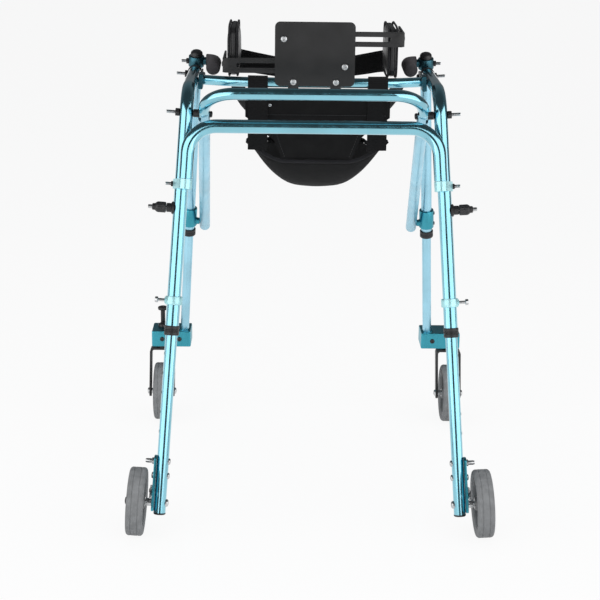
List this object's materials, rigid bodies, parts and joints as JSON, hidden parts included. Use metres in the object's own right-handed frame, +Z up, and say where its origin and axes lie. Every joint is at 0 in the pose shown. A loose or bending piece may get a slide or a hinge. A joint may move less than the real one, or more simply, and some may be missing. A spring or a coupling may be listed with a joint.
{
  "type": "posterior walker",
  "caption": "Reverse walking frame of splayed tubes, closed behind, with fixed rear wheels, front casters, folding front legs, hip stabiliser and sling seat.",
  "frame": {"origin": "on the ground, midway between the rear and front axles, in the middle plane", "axes": "+Z up, +Y the way the user faces and walks, +X to the user's right"},
  "size_m": [0.706, 0.7171, 0.918],
  "materials": {
    "blue_tube": "bright anodised teal blue",
    "blue_bracket": "satin anodised blue",
    "pale_ring": "pale satin",
    "steel": "plated",
    "black_metal": "satin black",
    "black_plastic": "moulded",
    "foam_grip": "foam",
    "grey_tyre": "matt",
    "grey_hub": "moulded",
    "black_fabric": "woven"
  },
  "bodies": {
    "root": {"lower_crossbar": "blue_tube", "upper_crossbar": "blue_tube", "stabilizer_bar": "blue_tube", "stabilizer_plate": "black_metal", "harness_back": "black_fabric", "seat_sling": "black_fabric", "side_rail_left": "blue_tube", "hoop_clamp_left": "pale_ring", "leg_clip_left": "pale_ring", "fold_bolt_left": "steel", "brace_bolt_left": "steel", "side_rail_right": "blue_tube", "hoop_clamp_right": "pale_ring", "leg_clip_right": "pale_ring", "fold_bolt_right": "steel", "brace_bolt_right": "steel"},
    "rear_leg_left": {"rear_leg_left": "blue_tube", "wheel_bracket_left": "blue_bracket", "wheel_axle_left": "steel"},
    "rear_wheel_left": {"rear_left_tyre": "grey_tyre", "rear_left_hub": "grey_hub"},
    "pawl_left": {"pawl_lever_left": "steel"},
    "plunger_left": {"plunger_knob_left": "black_plastic"},
    "leg_pin_left": {"leg_pin_left": "steel"},
    "front_upright_left": {"front_upright_left": "blue_tube", "brace_collar_left": "blue_bracket"},
    "handle_left": {"handle_tube_left": "black_plastic", "hand_grip_left": "foam_grip"},
    "brace_left": {"brace_left": "blue_tube"},
    "front_leg_left": {"front_leg_left": "blue_tube", "caster_bracket_left": "blue_bracket"},
    "caster_left": {"caster_fork_left": "black_metal"},
    "caster_wheel_left": {"caster_left_tyre": "grey_tyre", "caster_left_hub": "grey_hub"},
    "swivel_lock_left": {"swivel_lock_left": "black_plastic"},
    "hip_pad_left": {"slot_bar_lower": "black_metal", "side_pad_left": "black_fabric", "belt_left": "black_fabric"},
    "rear_leg_right": {"rear_leg_right": "blue_tube", "wheel_bracket_right": "blue_bracket", "wheel_axle_right": "steel"},
    "rear_wheel_right": {"rear_right_tyre": "grey_tyre", "rear_right_hub": "grey_hub"},
    "pawl_right": {"pawl_lever_right": "steel"},
    "plunger_right": {"plunger_knob_right": "black_plastic"},
    "leg_pin_right": {"leg_pin_right": "steel"},
    "front_upright_right": {"front_upright_right": "blue_tube", "brace_collar_right": "blue_bracket"},
    "handle_right": {"handle_tube_right": "black_plastic", "hand_grip_right": "foam_grip"},
    "brace_right": {"brace_right": "blue_tube"},
    "front_leg_right": {"front_leg_right": "blue_tube", "caster_bracket_right": "blue_bracket"},
    "caster_right": {"caster_fork_right": "black_metal"},
    "caster_wheel_right": {"caster_right_tyre": "grey_tyre", "caster_right_hub": "grey_hub"},
    "swivel_lock_right": {"swivel_lock_right": "black_plastic"},
    "hip_pad_right": {"slot_bar_upper": "black_metal", "side_pad_right": "black_fabric", "belt_right": "black_fabric"}
  },
  "joints": [
    {"name": "rear_leg_slide_left", "type": "slide", "parent": "root", "child": "rear_leg_left", "axis": [-0.0603, -0.2584, -0.9642], "range_m": [0, 0.1]},
    {"name": "rear_wheel_spin_left", "type": "hinge", "parent": "rear_leg_left", "child": "rear_wheel_left", "pos_m": [-0.32228, -0.29509, 0.06401], "axis": [-0.9981, 0, 0.0624], "continuous": true},
    {"name": "pawl_pivot_left", "type": "hinge", "parent": "rear_leg_left", "child": "pawl_left", "pos_m": [-0.29514, -0.28954, 0.0831], "axis": [0.9981, 0, -0.0624], "range_deg": [0, 18], "stiffness_Nm_per_rad": 0.06},
    {"name": "plunger_pull_left", "type": "slide", "parent": "root", "child": "plunger_left", "axis": [-0.9981, 0, 0.0624], "range_m": [0, 0.008], "stiffness_N_per_m": 400},
    {"name": "leg_pin_pull_left", "type": "slide", "parent": "root", "child": "leg_pin_left", "axis": [-0.9981, 0, 0.0624], "range_m": [0, 0.006], "stiffness_N_per_m": 300},
    {"name": "front_fold_left", "type": "hinge", "parent": "root", "child": "front_upright_left", "pos_m": [-0.23333, 0.178, 0.79], "axis": [-0.9981, 0, 0.0624], "range_deg": [0, 36]},
    {"name": "brace_swing_left", "type": "hinge", "parent": "root", "child": "brace_left", "pos_m": [-0.20223, -0.1077, 0.75844], "axis": [-0.9981, 0, 0.0624], "range_deg": [0, 22]},
    {"name": "grip_turn_left", "type": "hinge", "parent": "front_upright_left", "child": "handle_left", "pos_m": [-0.23158, 0.17164, 0.818], "axis": [-0.0608, 0.2211, -0.9733], "range_deg": [0, 10]},
    {"name": "front_leg_slide_left", "type": "slide", "parent": "front_upright_left", "child": "front_leg_left", "axis": [-0.0608, 0.2211, -0.9733], "range_m": [0, 0.08]},
    {"name": "caster_swivel_left", "type": "hinge", "parent": "front_leg_left", "child": "caster_left", "pos_m": [-0.321, 0.3295, 0.157], "axis": [0, 0, 1], "continuous": true},
    {"name": "caster_spin_left", "type": "hinge", "parent": "caster_left", "child": "caster_wheel_left", "pos_m": [-0.321, 0.2945, 0.0635], "axis": [1, 0, 0], "continuous": true},
    {"name": "swivel_lock_pull_left", "type": "slide", "parent": "front_leg_left", "child": "swivel_lock_left", "axis": [0, 0, 1], "range_m": [0, 0.008], "stiffness_N_per_m": 400},
    {"name": "hip_pad_slide_left", "type": "slide", "parent": "root", "child": "hip_pad_left", "axis": [1, 0, 0], "range_m": [0, 0.04]},
    {"name": "rear_leg_slide_right", "type": "slide", "parent": "root", "child": "rear_leg_right", "axis": [0.0603, -0.2584, -0.9642], "range_m": [0, 0.1]},
    {"name": "rear_wheel_spin_right", "type": "hinge", "parent": "rear_leg_right", "child": "rear_wheel_right", "pos_m": [0.32228, -0.29509, 0.06401], "axis": [0.9981, 0, 0.0624], "continuous": true},
    {"name": "pawl_pivot_right", "type": "hinge", "parent": "rear_leg_right", "child": "pawl_right", "pos_m": [0.29514, -0.28954, 0.0831], "axis": [0.9981, 0, 0.0624], "range_deg": [0, 18], "stiffness_Nm_per_rad": 0.06},
    {"name": "plunger_pull_right", "type": "slide", "parent": "root", "child": "plunger_right", "axis": [0.9981, 0, 0.0624], "range_m": [0, 0.008], "stiffness_N_per_m": 400},
    {"name": "leg_pin_pull_right", "type": "slide", "parent": "root", "child": "leg_pin_right", "axis": [0.9981, 0, 0.0624], "range_m": [0, 0.006], "stiffness_N_per_m": 300},
    {"name": "front_fold_right", "type": "hinge", "parent": "root", "child": "front_upright_right", "pos_m": [0.23333, 0.178, 0.79], "axis": [-0.9981, 0, -0.0624], "range_deg": [0, 36]},
    {"name": "brace_swing_right", "type": "hinge", "parent": "root", "child": "brace_right", "pos_m": [0.20223, -0.1077, 0.75844], "axis": [-0.9981, 0, -0.0624], "range_deg": [0, 22]},
    {"name": "grip_turn_right", "type": "hinge", "parent": "front_upright_right", "child": "handle_right", "pos_m": [0.23158, 0.17164, 0.818], "axis": [-0.0608, -0.2211, 0.9733], "range_deg": [0, 10]},
    {"name": "front_leg_slide_right", "type": "slide", "parent": "front_upright_right", "child": "front_leg_right", "axis": [0.0608, 0.2211, -0.9733], "range_m": [0, 0.08]},
    {"name": "caster_swivel_right", "type": "hinge", "parent": "front_leg_right", "child": "caster_right", "pos_m": [0.321, 0.3295, 0.157], "axis": [0, 0, 1], "continuous": true},
    {"name": "caster_spin_right", "type": "hinge", "parent": "caster_right", "child": "caster_wheel_right", "pos_m": [0.321, 0.2945, 0.0635], "axis": [1, 0, 0], "continuous": true},
    {"name": "swivel_lock_pull_right", "type": "slide", "parent": "front_leg_right", "child": "swivel_lock_right", "axis": [0, 0, 1], "range_m": [0, 0.008], "stiffness_N_per_m": 400},
    {"name": "hip_pad_slide_right", "type": "slide", "parent": "root", "child": "hip_pad_right", "axis": [-1, 0, 0], "range_m": [0, 0.04]}
  ],
  "couplings": [
    {"joint": "brace_swing_left", "follows": "front_fold_left", "ratio": 0.6},
    {"joint": "brace_swing_right", "follows": "front_fold_right", "ratio": 0.6}
  ]
}
